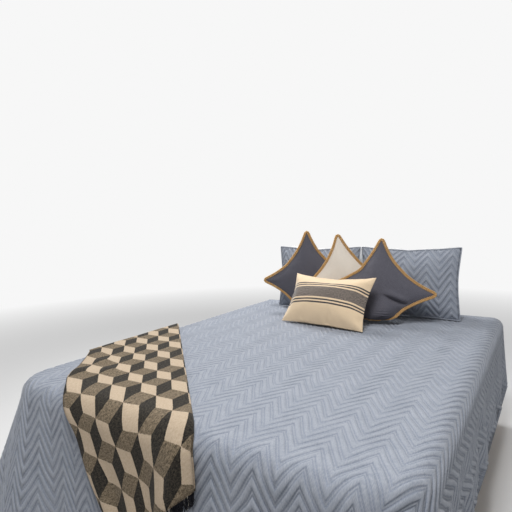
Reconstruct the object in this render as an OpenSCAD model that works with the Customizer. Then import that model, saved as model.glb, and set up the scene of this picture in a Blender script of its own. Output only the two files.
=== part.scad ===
// Dressed short queen bed: slatted timber frame, mattress, quilted coverlet, pillows, cushions and a folded throw.
// Millimetres, Z up. The head of the bed is towards +Y and the foot towards -Y.
// The origin is on the floor, under the centre of the whole bed's box.

/* [Mattress] */
// Width of the mattress, across the bed
mattress_w = 1524; // [1300:1:1900]
// Length of the mattress, from head to foot
mattress_l = 1905; // [1800:1:2100]
// Height of the mattress
mattress_h = 254; // [180:1:330]
// Corner radius of the mattress, seen from above
mattress_corner_r = 150; // [80:1:170]
// Rounding along the top and bottom edges of the mattress
mattress_edge_r = 32; // [24:1:36]

/* [Bed frame] */
// Height of the deck that the mattress lies on
deck_z = 330; // [280:1:420]
// How far the frame stands in from the mattress on every side
frame_inset = 20; // [10:1:60]
// Height of the four rails
rail_h = 140; // [110:1:180]
// Thickness of the four rails
rail_t = 28; // [20:1:40]
// Width of the square legs
leg_w = 64; // [45:1:80]
// Width of the leg's foot, where it tapers
leg_foot_w = 46; // [36:1:60]
// Height of one slat
slat_t = 18; // [14:1:24]
// Width of one slat
slat_w = 92; // [70:1:110]
// Side of the square ledges that carry the slats
ledge_w = 38; // [25:1:50]
// Width of the middle beam
beam_w = 45; // [35:1:60]
// Height of the middle beam
beam_h = 90; // [70:1:110]
// Bevel along the edges of the timber
timber_bevel = 3; // [1:0.5:5]

/* [Coverlet] */
// Thickness of the quilted coverlet
coverlet_t = 8; // [5:1:12]
// Room between the mattress side and the coverlet
coverlet_slack = 14; // [8:1:30]
// Outer radius where the coverlet turns down
coverlet_edge_r = 52; // [44:1:58]
// How far the hem hangs below the top of the bed, along the sides
coverlet_drop = 372; // [300:1:440]
// How far the hem hangs below the top of the bed, along the foot
foot_drop = 430; // [380:1:445]
// How far the hem stands out along the sides and foot
hem_flare = 14; // [4:1:30]
// How much further it stands out in the folds at the foot corners
corner_flare = 140; // [60:1:150]
// Reach of those folds to each side of the corner
corner_fold_w = 130; // [90:1:180]
// How much lower the hem hangs at the foot corners, where the cover's square corner falls
corner_drop = 100; // [50:1:110]
// Reach of that lower hem to each side of the corner
corner_drop_w = 200; // [150:1:300]

/* [Pillows and shams] */
// Width of a white sleeping pillow
pillow_w = 540; // [500:1:560]
// Height of a white sleeping pillow, standing on its long side
pillow_h = 400; // [360:1:440]
// Thickness of a white sleeping pillow
pillow_t = 98; // [80:1:120]
// Width of a quilted sham
sham_w = 566; // [500:1:600]
// Height of a quilted sham
sham_h = 404; // [370:1:450]
// Thickness of a quilted sham
sham_t = 130; // [100:1:150]
// Gap between the left and the right ones
pair_gap = 8; // [4:1:30]
// How far that gap is to the right of the middle of the bed
pair_shift = 21; // [-40:1:40]
// Distance from the head end to the middle of the sleeping pillows
pillow_back = 48; // [44:1:80]

/* [Cushions] */
// Side of a square cushion
cushion_w = 412; // [390:1:430]
// Thickness of a square cushion
cushion_t = 78; // [60:1:80]
// Diameter of the rope that trims the square cushions
trim_d = 15; // [10:1:20]
// How far a cushion's side pulls in between its corners
side_pull = 36; // [20:1:44]
// Width of the long cushion
lumbar_w = 510; // [460:1:560]
// Height of the long cushion
lumbar_h = 300; // [260:1:340]
// Thickness of the long cushion
lumbar_t = 132; // [90:1:145]

/* [Throw] */
// Length of the throw
throw_l = 1690; // [1660:1:1740]
// Width of the throw when it is folded in thirds
throw_w = 415; // [360:1:430]
// Height of the folded throw
throw_t = 26; // [18:1:32]
// Length of the fringe at its ends
fringe_l = 45; // [25:1:60]
// Angle that it runs across the bed, from the width of the bed
throw_angle = 45; // [42:1:48]
// Length of its middle that hangs over the foot of the bed
throw_hang = 397; // [340:1:430]

/* [Hidden] */
SLAT_COUNT = 12;
SLATS = [for (i = [1:SLAT_COUNT]) str("slat_", i < 10 ? "0" : "", i)];

// Clearance at which a soft piece rests on its neighbour
seat = 0.3;

// Heights of the stack
mattress_top = deck_z + seat + mattress_h;
bed_top = mattress_top + seat + coverlet_t;
rail_z = deck_z - rail_h;
ledge_top = deck_z - slat_t;

// Half sizes of the mattress and the frame
half_w = mattress_w / 2;
half_l = mattress_l / 2;
frame_x = half_w - frame_inset;
frame_y = half_l - frame_inset;

// Coverlet: outward offsets from the mattress side, and the slope of its hanging sides
side_out = coverlet_slack + coverlet_t;
side_hang = coverlet_drop - coverlet_edge_r;
foot_hang = foot_drop - coverlet_edge_r;
EDGE_STEPS = 5;
CORNER_STEPS = 10;

// One half of the coverlet's path round the bed, from the middle of the foot to the head.
// Each station is [x, y, outward x, outward y, distance from the middle of the corner].
corner_arc = mattress_corner_r * PI / 4;
foot_run = half_w - mattress_corner_r;
side_run = 2 * half_l - mattress_corner_r;
FOOT_PARTS = [0, 0.3, 0.55, 0.72, 0.84, 0.93];
SIDE_PARTS = [0.04, 0.08, 0.14, 0.22, 0.35, 0.65, 1];
right_path = concat(
    [for (f = FOOT_PARTS) [f * foot_run, -half_l, 0, -1, (1 - f) * foot_run + corner_arc]],
    [for (i = [0:CORNER_STEPS]) let (part = i / CORNER_STEPS, a = 90 * (part - 1))
        [foot_run + mattress_corner_r * cos(a), -half_l + mattress_corner_r + mattress_corner_r * sin(a),
         cos(a), sin(a), abs(2 * part - 1) * corner_arc]],
    [for (f = SIDE_PARTS) [half_w, -half_l + mattress_corner_r + f * side_run, 1, 0, f * side_run + corner_arc]]
);
function mirrored(s) = [-s[0], s[1], -s[2], s[3], s[4]];
path_last = len(right_path) - 1;
coverlet_path = concat(
    [for (i = [path_last:-1:1]) mirrored(right_path[i])],
    right_path
);
function hem_out(d) = hem_flare + corner_flare * exp(-pow(d / corner_fold_w, 2));

// How much further than along the sides the hem hangs at a station, by how far it faces the foot
function hem_lower(s) = (foot_drop - coverlet_drop) * s[3] * s[3] + corner_drop * exp(-pow(s[4] / corner_drop_w, 2));

// The coverlet's section: [outward offset, depth below the bed top, share of the hang] of each ring
HANG_PARTS = [0.25, 0.5, 0.75, 1];
function section_rings(inset) = concat(
    [for (i = [0:EDGE_STEPS]) let (a = 90 * i / EDGE_STEPS, r = coverlet_edge_r - inset)
        [side_out - coverlet_edge_r + r * sin(a), coverlet_edge_r - r * cos(a), 0]],
    [for (f = HANG_PARTS)
        [side_out - inset, coverlet_edge_r + f * side_hang, f]]
);
function coverlet_ring(ring) = [
    for (s = coverlet_path) let (out = ring[0] + ring[2] * hem_out(s[4]))
        [s[0] + s[2] * out, s[1] + s[3] * out, bed_top - ring[1] - ring[2] * hem_lower(s)]
];

module placed() {
    translate([0, origin_y, 0]) children();
}

// A rectangle with bevelled corners, to extrude as a board
module eased(w, h, bevel) {
    polygon([
        [-w / 2 + bevel, -h / 2], [w / 2 - bevel, -h / 2], [w / 2, -h / 2 + bevel], [w / 2, h / 2 - bevel],
        [w / 2 - bevel, h / 2], [-w / 2 + bevel, h / 2], [-w / 2, h / 2 - bevel], [-w / 2, -h / 2 + bevel]
    ]);
}

// A board along X, centred in X and Y, with its underside at z = 0
module board_x(length, w, h) {
    translate([-length / 2, 0, h / 2]) rotate([90, 0, 90]) linear_extrude(length) eased(w, h, timber_bevel);
}

// The same board along Y
module board_y(length, w, h) {
    rotate(90) board_x(length, w, h);
}

module side_rail(side) {
    color("burlywood") placed()
        translate([side * (frame_x - rail_t / 2), 0, rail_z]) board_y(2 * (frame_y - rail_t), rail_t, rail_h);
}

module end_rail(end) {
    color("burlywood") placed()
        translate([0, end * (frame_y - rail_t / 2), rail_z]) board_x(2 * frame_x, rail_t, rail_h);
}

// A leg stands inside a corner of the rails, up to the underside of the slats, and tapers below the rails
leg_x = frame_x - rail_t - leg_w / 2;
leg_y = frame_y - rail_t - leg_w / 2;

module leg(side, end) {
    taper_z = rail_z - timber_bevel;
    color("burlywood") placed() translate([side * leg_x, end * leg_y, 0]) {
        translate([0, 0, taper_z]) linear_extrude(ledge_top - taper_z) eased(leg_w, leg_w, timber_bevel);
        hull() {
            translate([0, 0, taper_z]) linear_extrude(0.01) eased(leg_w, leg_w, timber_bevel);
            translate([side * (leg_w - leg_foot_w) / 2, end * (leg_w - leg_foot_w) / 2, 0])
                linear_extrude(0.01) eased(leg_foot_w, leg_foot_w, timber_bevel);
        }
    }
}

// A ledge on the inside of a side rail, between the legs
module ledge(side) {
    color("wheat") placed()
        translate([side * (frame_x - rail_t - ledge_w / 2), 0, ledge_top - ledge_w])
            board_y(2 * (leg_y - leg_w / 2), ledge_w, ledge_w);
}

module middle_beam() {
    color("wheat") placed()
        translate([0, 0, ledge_top - beam_h]) board_y(2 * (frame_y - rail_t), beam_w, beam_h);
}

module middle_leg(end) {
    color("burlywood") placed()
        translate([0, end * mattress_l / 5, 0])
            linear_extrude(ledge_top - beam_h) eased(leg_foot_w, leg_foot_w, timber_bevel);
}

// Slats from rail to rail, evenly spaced between the end rails
slat_field = 2 * (frame_y - rail_t);
slat_gap = (slat_field - SLAT_COUNT * slat_w) / (SLAT_COUNT + 1);

module slat(i) {
    y = -slat_field / 2 + slat_gap + slat_w / 2 + (i - 1) * (slat_w + slat_gap);
    color("wheat") placed()
        translate([0, y, ledge_top]) board_x(2 * (frame_x - rail_t), slat_w, slat_t);
}

// Closed skin over stacked rings of points, whose two ends fan out from their middles
module skin(rings) {
    n = len(rings[0]);
    last = len(rings) - 1;
    first_mid = n * (last + 1);
    last_mid = first_mid + 1;
    points = concat([for (ring = rings) each ring], [centre(rings[0]), centre(rings[last])]);
    sides = [for (k = [0:last - 1]) for (i = [0:n - 1]) let (j = (i + 1) % n)
        each [[k * n + i, (k + 1) * n + i, (k + 1) * n + j], [k * n + i, (k + 1) * n + j, k * n + j]]];
    ends = [for (i = [0:n - 1]) let (j = (i + 1) % n)
        each [[first_mid, i, j], [last_mid, last * n + j, last * n + i]]];
    polyhedron(points, concat(sides, ends));
}
function sum(list) = list * [for (v = list) 1];
function centre(points) = [for (k = [0:len(points[0]) - 1]) sum([for (p = points) p[k]]) / len(points)];

// A rounded rectangle as points, counter-clockwise
function rounded_rect(hx, hy, r, steps) = [
    for (q = [0:3]) for (i = [0:steps]) let (
        a = 90 * q + 90 * i / steps,
        cx = (q == 0 || q == 3 ? 1 : -1) * (hx - r),
        cy = (q < 2 ? 1 : -1) * (hy - r)
    ) [cx + r * cos(a), cy + r * sin(a)]
];

module mattress() {
    steps = 3;
    function level(inset, z) = [
        for (p = rounded_rect(half_w - inset, half_l - inset, mattress_corner_r - inset, 8)) [p[0], p[1], z]
    ];
    lower = [for (i = [0:steps]) let (a = 90 * i / steps)
        level(mattress_edge_r * (1 - sin(a)), mattress_edge_r * (1 - cos(a)))];
    upper = [for (i = [steps:-1:0]) let (a = 90 * i / steps)
        level(mattress_edge_r * (1 - sin(a)), mattress_h - mattress_edge_r * (1 - cos(a)))];
    color("white") placed() translate([0, 0, deck_z + seat]) rotate([180, 0, 0]) translate([0, 0, -mattress_h])
        skin(concat(lower, upper));
}

// The coverlet is one shell, open underneath and at the head
module coverlet() {
    outer = [for (r = section_rings(0)) coverlet_ring(r)];
    inner = [for (r = section_rings(coverlet_t)) coverlet_ring(r)];
    n = len(outer[0]);
    rings = len(outer);
    top_mid = 2 * rings * n;
    under_mid = top_mid + 1;
    points = concat([for (r = outer) each r], [for (r = inner) each r], [centre(outer[0]), centre(inner[0])]);
    function o(k, i) = k * n + i;
    function v(k, i) = rings * n + k * n + i;
    faces = concat(
        [for (k = [0:rings - 2]) for (i = [0:n - 2])
            each [[o(k, i), o(k + 1, i + 1), o(k + 1, i)], [o(k, i), o(k, i + 1), o(k + 1, i + 1)]]],
        [for (k = [0:rings - 2]) for (i = [0:n - 2])
            each [[v(k, i), v(k + 1, i), v(k + 1, i + 1)], [v(k, i), v(k + 1, i + 1), v(k, i + 1)]]],
        [for (i = [0:n - 2]) let (k = rings - 1)
            each [[o(k, i), v(k, i + 1), v(k, i)], [o(k, i), o(k, i + 1), v(k, i + 1)]]],
        [for (k = [0:rings - 2])
            each [[o(k, 0), v(k + 1, 0), v(k, 0)], [o(k, 0), o(k + 1, 0), v(k + 1, 0)]]],
        [for (k = [0:rings - 2]) let (i = n - 1)
            each [[o(k, i), v(k, i), v(k + 1, i)], [o(k, i), v(k + 1, i), o(k + 1, i)]]],
        [for (i = [0:n - 1]) let (j = (i + 1) % n)
            each [[top_mid, o(0, j), o(0, i)], [under_mid, v(0, i), v(0, j)]]],
        [[o(0, n - 1), o(0, 0), v(0, 0)], [o(0, n - 1), v(0, 0), v(0, n - 1)]]
    );
    color("lightsteelblue") placed() polyhedron(points, faces);
}

// Outline of a soft square or oblong: its sides pull in between the corners, apart from those that rest.
// Each corner is [x, z], and each pull is that of the side which starts there.
SIDE_STOPS = [0, 0.07, 0.2, 0.35, 0.5, 0.65, 0.8, 0.93];
function outline(corners, pulls) = [
    for (c = [0:len(corners) - 1]) let (
        a = corners[c],
        b = corners[(c + 1) % len(corners)],
        along = (b - a) / norm(b - a),
        inward = [-along[1], along[0]]
    ) for (f = SIDE_STOPS) a + (b - a) * f + inward * pulls[c] * sin(180 * f)
];

// Rings of a crowned pad over an outline: [x, depth, height], from its back to its front
CROWN_ANGLES = [78, 58, 38, 18, 0, -18, -38, -58, -78];
CROWN_POWER = 0.55;
function pad_rings(points, thick) = let (m = centre(points)) [
    for (a = CROWN_ANGLES) [
        for (p = points) let (q = m + (p - m) * pow(cos(a), CROWN_POWER)) [q[0], thick / 2 * sin(a), q[1]]
    ]
];

// Rings of a rope round an outline, just outside its edge
ROPE_SIDES = 6;
function rope_rings(points, d) = let (n = len(points)) [
    for (i = [0:n]) let (
        p = points[i % n],
        before = p - points[(i + n - 1) % n],
        after = points[(i + 1) % n] - p,
        u = before / norm(before),
        w = after / norm(after),
        bend = (u + w) / norm(u + w),
        out = [bend[1], -bend[0]],
        mitre = 1 / max(0.5, u * bend)
    ) [
        for (j = [0:ROPE_SIDES - 1]) let (
            b = 360 * j / ROPE_SIDES,
            q = p + out * mitre * (d / 2 * (1 + cos(b)) + seat)
        ) [q[0], d / 2 * sin(b), q[1]]
    ]
];

// Leans rings back, turns them about the upright and moves them to their place on the bed
function posed(rings, lean, turn, x, y) = [
    for (ring = rings) [
        for (p = ring) let (
            back = p[1] * cos(lean) + p[2] * sin(lean),
            up = p[2] * cos(lean) - p[1] * sin(lean)
        ) [x + p[0] * cos(turn) - back * sin(turn), y + p[0] * sin(turn) + back * cos(turn), up]
    ]
];
function lowest(rings) = min([for (ring = rings) for (p = ring) p[2]]);
module rested(low) {
    placed() translate([0, 0, bed_top + seat - low]) children();
}

// An oblong pad standing on its long side: size [width, height, thickness], place [lean, turn, x, y]
function oblong(size, pull, place) = let (
    w = size[0],
    h = size[1],
    corners = [[-w / 2, 0], [w / 2, 0], [w / 2, h], [-w / 2, h]]
) posed(pad_rings(outline(corners, [0, pull, pull, pull]), size[2]), place[0], place[1], place[2], place[3]);

// Depths from the head: the shams stand against the sleeping pillows
PILLOW_LEAN = 3;
PILLOW_PULL = 10;
SHAM_LEAN = 6;
SHAM_PULL = 12;
sham_gap = 14;
pillow_y = half_l - pillow_back - pillow_h / 2 * sin(PILLOW_LEAN);
sham_y = pillow_y - (pillow_t + sham_t) / 2 - sham_gap;
function pillow_rings(x) = oblong([pillow_w, pillow_h, pillow_t], PILLOW_PULL, [PILLOW_LEAN, 0, x, pillow_y]);
function sham_rings(x) = oblong([sham_w, sham_h, sham_t], SHAM_PULL, [SHAM_LEAN, 0, x, sham_y]);

// The whole bed's reach to the foot and to the head decides where the origin is
hem_points = coverlet_ring(section_rings(0)[EDGE_STEPS + len(HANG_PARTS)]);
reach_foot = -min([for (p = hem_points) p[1]]);
reach_head = max(half_l, max([for (ring = pillow_rings(0)) for (p = ring) p[1]]));
origin_y = (reach_foot - reach_head) / 2;

module pad(rings) {
    rested(lowest(rings)) skin(rings);
}

function pair_x(side, w) = pair_shift + side * (w + pair_gap) / 2;

module pillow(side) {
    color("white") pad(pillow_rings(pair_x(side, pillow_w)));
}

module sham(side) {
    color("lightsteelblue") pad(sham_rings(pair_x(side, sham_w)));
}

// Square cushions stand on a corner that is tucked under them. Each is [middle x, middle height up its slope,
// tilt from standing on a corner, lean, turn, distance from the shams], with lengths as shares of the side.
GREY_LEFT = [-0.66, 0.44, 2, 3, 8, 0.11];
WHITE = [-0.025, 0.402, 8.5, 7, 14, 0.224];
GREY_RIGHT = [0.495, 0.4, -2, 21, 9, 0.433];

// The tilted square, cut off level where it rests
function standing_corners(c) = let (
    r = cushion_w / sqrt(2),
    at = function (a) [r * cos(a + c[2]), c[1] * cushion_w + r * sin(a + c[2])],
    right = at(0),
    top = at(90),
    left = at(180),
    bottom = at(270),
    level = function (p) p + (bottom - p) * p[1] / (p[1] - bottom[1])
) [level(left), level(right), right, top, left];
function cushion_outline(c) = outline(standing_corners(c), [0, side_pull / 3, side_pull, side_pull, side_pull / 3]);
sham_front = sham_y - sham_t / 2;
function cushion_posed(c, rings) = posed(rings, c[3], c[4], c[0] * cushion_w, sham_front - c[5] * cushion_w);
function trim_posed(c) = cushion_posed(c, rope_rings(cushion_outline(c), trim_d));
function cushion_low(c) = lowest(trim_posed(c));

module square_cushion(c) {
    rested(cushion_low(c)) skin(cushion_posed(c, pad_rings(cushion_outline(c), cushion_t)));
}

// The rope trim closes on itself
module rope_trim(c) {
    rested(cushion_low(c)) ring_skin(trim_posed(c));
}

module ring_skin(rings) {
    n = len(rings[0]);
    count = len(rings) - 1;
    points = [for (k = [0:count - 1]) for (p = rings[k]) p];
    faces = [for (k = [0:count - 1]) for (i = [0:n - 1]) let (j = (i + 1) % n, m = (k + 1) % count)
        each [[k * n + i, m * n + i, m * n + j], [k * n + i, m * n + j, k * n + j]]];
    polyhedron(points, faces);
}

// The long cushion leans on the right grey one. Its place across the bed is a share of its own width, and its
// distance in front of that cushion is a share of its own height.
LUMBAR_PULL = 14;
LUMBAR_LEAN = 35;
LUMBAR_TURN = -6.5;
LUMBAR_X = -0.09;
LUMBAR_FORWARD = 0.645;
lumbar_y = sham_front - GREY_RIGHT[5] * cushion_w - LUMBAR_FORWARD * lumbar_h;
lumbar_place = [LUMBAR_LEAN, LUMBAR_TURN, LUMBAR_X * lumbar_w, lumbar_y];

module cushion_lumbar() {
    color("wheat")
        pad(oblong([lumbar_w, lumbar_h, lumbar_t], LUMBAR_PULL, lumbar_place));
}

// The throw lies across the bed at an angle and turns down over the left side and the foot
bend_clear = 3;
bend_r = coverlet_edge_r + bend_clear;
bend_length = (bend_r + throw_t / 2) * PI / 2;
flat_x = half_w + side_out - coverlet_edge_r;
flat_y = half_l + side_out - coverlet_edge_r;
run = [cos(throw_angle), -sin(throw_angle)];
across = [-sin(throw_angle), -cos(throw_angle)];

// Its middle crosses the foot edge at this share of the half width, right of the middle of the bed
THROW_CROSSING = -0.19;
throw_start = [THROW_CROSSING * half_w, -flat_y] - (throw_l - throw_hang) * run;

// Lengths along the throw at which its strip at t comes onto the flat top and leaves it
function s_left(t, past) = (-flat_x - past - throw_start[0] - t * across[0]) / run[0];
function s_foot(t) = (-flat_y - throw_start[1] - t * across[1]) / run[1];

// Past the foot edge it sags: its left edge hangs at a slant and is eased together, its right edge hangs steeper.
// Over the bend it still swings on the way that it ran.
SLANT_RIGHT = 0;
SLANT_LEFT = 35;
EASE_LEFT = 0.15;
function part_left(t) = t / throw_w + 0.5;
function slant(t) = SLANT_RIGHT + (SLANT_LEFT - SLANT_RIGHT) * part_left(t);
function eased_length(t) = 1 - EASE_LEFT * part_left(t);
function fall(t) = eased_length(t) * cos(slant(t));
function swing(past, t) = past * tan(slant(t))
    + (1 / tan(throw_angle) - tan(slant(t))) * bend_length / 2 * (1 - exp(-2 * past / bend_length));

// Where a stretch that reaches past the flat top goes: [outward, down], for a height above the coverlet and the
// drop of the coverlet's hanging part there
function turned_down(past, lift, hang) = let (
    a = min(past, bend_length) / bend_length * 90,
    rest = max(0, past - bend_length),
    r = bend_r + lift
) [r * sin(a) + rest * hem_flare / hang, bend_r - r * cos(a) + rest];

// A point of the throw, s along it and t across it, at a height above the coverlet
function throw_point(s, t, lift) = let (
    p = throw_start + s * run + t * across,
    over = max(0, s - s_foot(t)),
    edge_x = p[0] - over * run[0],
    left = turned_down(max(0, -p[0] - flat_x), lift, side_hang),
    foot = turned_down(over * fall(t), lift, foot_hang)
) p[0] < -flat_x ? [-flat_x - left[0], p[1], bed_top + seat - left[1]]
    : over > 0 ? [edge_x + swing(over * fall(t), t), -flat_y - foot[0], bed_top + seat - foot[1]]
    : [p[0], p[1], bed_top + seat + lift];

// The lengths at which the throw has a ring, for its strip at t
BEND_PARTS = [1, 0.8, 0.6, 0.4, 0.2, 0];
FLAT_PARTS = [0.15, 0.4, 0.6, 0.85];
HANG_STOPS = [0.25, 0.5, 0.75, 1];
function throw_stops(t) = let (
    on = s_left(t, 0),
    up = max(on / 10, s_left(t, bend_length)),
    off = s_foot(t),
    low = off + bend_length / fall(t)
) concat(
    [0, up / 2],
    [for (f = BEND_PARTS) up * f + on * (1 - f)],
    [for (f = FLAT_PARTS) on + (off - on) * f],
    [for (f = BEND_PARTS) off + (low - off) * (1 - f)],
    [for (f = HANG_STOPS) low + (throw_l - low) * f]
);

// The throw's section: [share of the width, share of the height], with rounded folded edges
FOLD_SECTION = concat(
    [for (f = [-0.5:0.125:0.5]) [f * 0.94, 1]],
    [[0.5, 0.5]],
    [for (f = [0.5:-0.125:-0.5]) [f * 0.94, 0]],
    [[-0.5, 0.5]]
);
module throw() {
    stops = [for (f = FOLD_SECTION) throw_stops(f[0] * throw_w)];
    rings = [for (k = [0:len(stops[0]) - 1]) [
        for (i = [0:len(FOLD_SECTION) - 1])
            throw_point(stops[i][k], FOLD_SECTION[i][0] * throw_w, FOLD_SECTION[i][1] * throw_t)
    ]];
    color("dimgray") placed() skin(rings);
}

// The fringe is a thinner strip that goes on from each end
module fringe(from, to) {
    thin = [for (f = FOLD_SECTION) [f[0] * throw_w, (0.3 + 0.4 * f[1]) * throw_t]];
    skin([for (s = [from, to]) [for (f = thin) throw_point(s, f[0], f[1])]]);
}

module throw_fringe() {
    color("black") placed() {
        fringe(-fringe_l, 0);
        fringe(throw_l, throw_l + fringe_l);
    }
}

side_rail(-1);  // side_rail_left
side_rail(1);  // side_rail_right
end_rail(1);  // head_rail
end_rail(-1);  // foot_rail
leg(-1, 1);  // leg_head_left
leg(1, 1);  // leg_head_right
leg(-1, -1);  // leg_foot_left
leg(1, -1);  // leg_foot_right
ledge(-1);  // ledge_left
ledge(1);  // ledge_right
middle_beam();
middle_leg(1);  // middle_leg_head
middle_leg(-1);  // middle_leg_foot
for (i = [1:SLAT_COUNT]) slat(i);
mattress();
coverlet();
pillow(-1);  // pillow_left
pillow(1);  // pillow_right
sham(-1);  // sham_left
sham(1);  // sham_right
color("slategray") square_cushion(GREY_LEFT);  // cushion_grey_left
color("white") square_cushion(WHITE);  // cushion_white
color("slategray") square_cushion(GREY_RIGHT);  // cushion_grey_right
color("peru") rope_trim(GREY_LEFT);  // trim_grey_left
color("peru") rope_trim(WHITE);  // trim_white
color("peru") rope_trim(GREY_RIGHT);  // trim_grey_right
cushion_lumbar();
throw();
throw_fringe();
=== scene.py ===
import math

import bmesh
import bpy
import numpy as np
from mathutils import Matrix, Vector


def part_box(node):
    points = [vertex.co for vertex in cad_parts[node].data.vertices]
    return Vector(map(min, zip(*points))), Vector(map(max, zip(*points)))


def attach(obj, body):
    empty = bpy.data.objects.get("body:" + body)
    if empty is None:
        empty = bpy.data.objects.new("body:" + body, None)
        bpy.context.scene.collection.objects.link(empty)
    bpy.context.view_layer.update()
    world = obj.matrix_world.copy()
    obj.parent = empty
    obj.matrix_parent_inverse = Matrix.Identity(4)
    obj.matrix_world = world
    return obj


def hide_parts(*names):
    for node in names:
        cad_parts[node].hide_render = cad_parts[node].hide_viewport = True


# A dressed short queen bed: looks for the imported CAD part, in metres and in its frame.
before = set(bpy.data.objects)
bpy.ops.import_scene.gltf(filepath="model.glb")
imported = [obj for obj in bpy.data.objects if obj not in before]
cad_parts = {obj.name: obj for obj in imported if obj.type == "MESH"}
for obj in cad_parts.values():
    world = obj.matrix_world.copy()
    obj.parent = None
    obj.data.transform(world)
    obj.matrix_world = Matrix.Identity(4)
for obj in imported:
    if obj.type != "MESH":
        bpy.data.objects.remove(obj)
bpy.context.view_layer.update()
scene = bpy.context.scene
rng = np.random.default_rng(11)

# Sizes that the CAD source names, repeated here in metres
EDGE_R = 0.052
SIDE_OUT = 0.022
CORNER_R = 0.15
MATTRESS_EDGE = 0.032
DROP = 0.372
FOOT_DROP = 0.43
HEM_FLARE = 0.014
CORNER_FLARE = 0.14
CORNER_FOLD_W = 0.13
CORNER_DROP = 0.1
CORNER_DROP_W = 0.2
QUILT_T = 0.008
SEAT = 0.0003
PILLOW = (0.54, 0.4, 0.098)
SHAM = (0.566, 0.404, 0.13)
LUMBAR = (0.51, 0.3, 0.142)
CUSHION_W = 0.412
CUSHION_T = 0.078
TRIM_D = 0.015
THROW_L = 1.69
THROW_W = 0.415
THROW_T = 0.026
THROW_ANGLE = math.radians(45)
THROW_HANG = 0.397
THROW_CROSSING = -0.19
FRINGE_L = 0.045

mattress_low, mattress_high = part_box("mattress")
HALF_W = mattress_high.x
HALF_L = (mattress_high.y - mattress_low.y) / 2
ORIGIN_Y = (mattress_high.y + mattress_low.y) / 2
BED_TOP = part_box("coverlet")[1].z
FLAT_X = HALF_W + SIDE_OUT - EDGE_R
FLAT_Y = HALF_L + SIDE_OUT - EDGE_R
ARC_R = CORNER_R + SIDE_OUT - EDGE_R


# Colours and materials
def srgb(r, g, b):
    """A colour given in 0 to 255 as it shows on screen, as the linear colour that a shader takes."""
    screen = [c / 255 for c in (r, g, b)]
    return tuple(((c + 0.055) / 1.055) ** 2.4 if c > 0.04 else c / 12.92 for c in screen) + (1.0,)


def math_node(operation):
    def add_node(value, *others):
        return value.nodes.math(operation, value, *others)
    return add_node


class Value:
    """An output in a node tree. Arithmetic and comparisons with it add math nodes."""

    def __init__(self, nodes, socket):
        self.nodes = nodes
        self.socket = socket

    __add__ = math_node("ADD")
    __radd__ = math_node("ADD")
    __sub__ = math_node("SUBTRACT")
    __mul__ = math_node("MULTIPLY")
    __truediv__ = math_node("DIVIDE")
    __pow__ = math_node("POWER")
    __lt__ = math_node("LESS_THAN")
    __gt__ = math_node("GREATER_THAN")
    __abs__ = math_node("ABSOLUTE")


class Nodes:
    """Short calls for building a node tree."""

    def __init__(self, tree):
        self.tree = tree

    def join(self, value, node, key):
        self.tree.links.new(value.socket, node.inputs[key])

    def make(self, kind, inputs, output=0, **settings):
        """A new node's output, with constants or other outputs put into its inputs."""
        node = self.tree.nodes.new("ShaderNode" + kind)
        for key, value in settings.items():
            setattr(node, key, value)
        for key, value in inputs.items():
            if isinstance(value, Value):
                self.join(value, node, key)
            else:
                node.inputs[key].default_value = value
        return Value(self, node.outputs[output])

    def math(self, operation, *values):
        return self.make("Math", dict(enumerate(values)), operation=operation)

    def coords(self, kind="Object"):
        return self.make("TexCoord", {}, kind)

    def scaled(self, vector, scale, shift=(0, 0, 0)):
        return self.make("Mapping", {"Vector": vector, "Scale": scale, "Location": shift})

    def noise(self, vector, scale, detail=3.0, roughness=0.5, distortion=0.0):
        texture = {"Vector": vector, "Scale": scale, "Detail": detail, "Roughness": roughness}
        return self.make("TexNoise", {**texture, "Distortion": distortion})

    def split(self, vector):
        """The first two parts of a vector."""
        first = self.make("SeparateXYZ", {0: vector})
        return first, Value(self, first.socket.node.outputs[1])

    def ramp(self, factor, *stops):
        """Stops are (position, colour)."""
        out = self.make("ValToRGB", {0: factor})
        elements = out.socket.node.color_ramp.elements
        while len(elements) < len(stops):
            elements.new(0.5)
        for element, (position, colour) in zip(elements, stops):
            element.position = position
            element.color = colour
        return out

    def mix(self, factor, a, b, blend="MIX"):
        return self.make("Mix", {0: factor, 6: a, 7: b}, 2, data_type="RGBA", blend_type=blend)

    def weave(self, vector, threads):
        """Height of a plain weave with that many threads a metre, over two coordinates."""
        sines = [self.math("SINE", way * (threads * math.pi)) for way in self.split(vector)]
        return abs(sines[0]) * abs(sines[1])

    def seen(self):
        """1 for what the camera and its reflections see, and 0 for what gives light."""
        camera = self.make("LightPath", {}, "Is Camera Ray")
        return self.math("MAXIMUM", camera, Value(self, camera.socket.node.outputs["Is Glossy Ray"]))


class Material(Nodes):
    """A new material, with the values that are the same all over it."""

    def __init__(self, name, roughness, sheen=0.0, specular=0.2):
        self.material = bpy.data.materials.new(name)
        self.material.use_nodes = True
        super().__init__(self.material.node_tree)
        self.shader = self.tree.nodes["Principled BSDF"]
        gloss = {"Roughness": roughness, "Specular IOR Level": specular}
        for key, value in {**gloss, "Sheen Weight": sheen, "Sheen Roughness": 0.5}.items():
            self.shader.inputs[key].default_value = value

    def finish(self, colour, height=None, strength=0.0, distance=0.0):
        """Gives the shader its colour, and its bump where there is one."""
        self.join(colour, self.shader, "Base Color")
        if height is not None:
            bump = self.make("Bump", {"Height": height, "Strength": strength, "Distance": distance})
            self.join(bump, self.shader, "Normal")
        return self.material


def cotton(name, dark, light):
    """Woven cotton: a fine weave, soft mottling and a little sheen, over the flat cloth's coordinates."""
    m = Material(name, 0.85, 0.25)
    flat = m.coords("UV")
    thread = m.noise(m.scaled(flat, (1, 0.12, 1)), 700, 2.0)
    tone = m.noise(flat, 9, 4.0, 0.6) * 0.6 + thread * 0.4
    return m.finish(m.ramp(tone, (0.3, dark), (0.7, light)), m.weave(flat, 420), 0.25, 0.0006)


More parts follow.
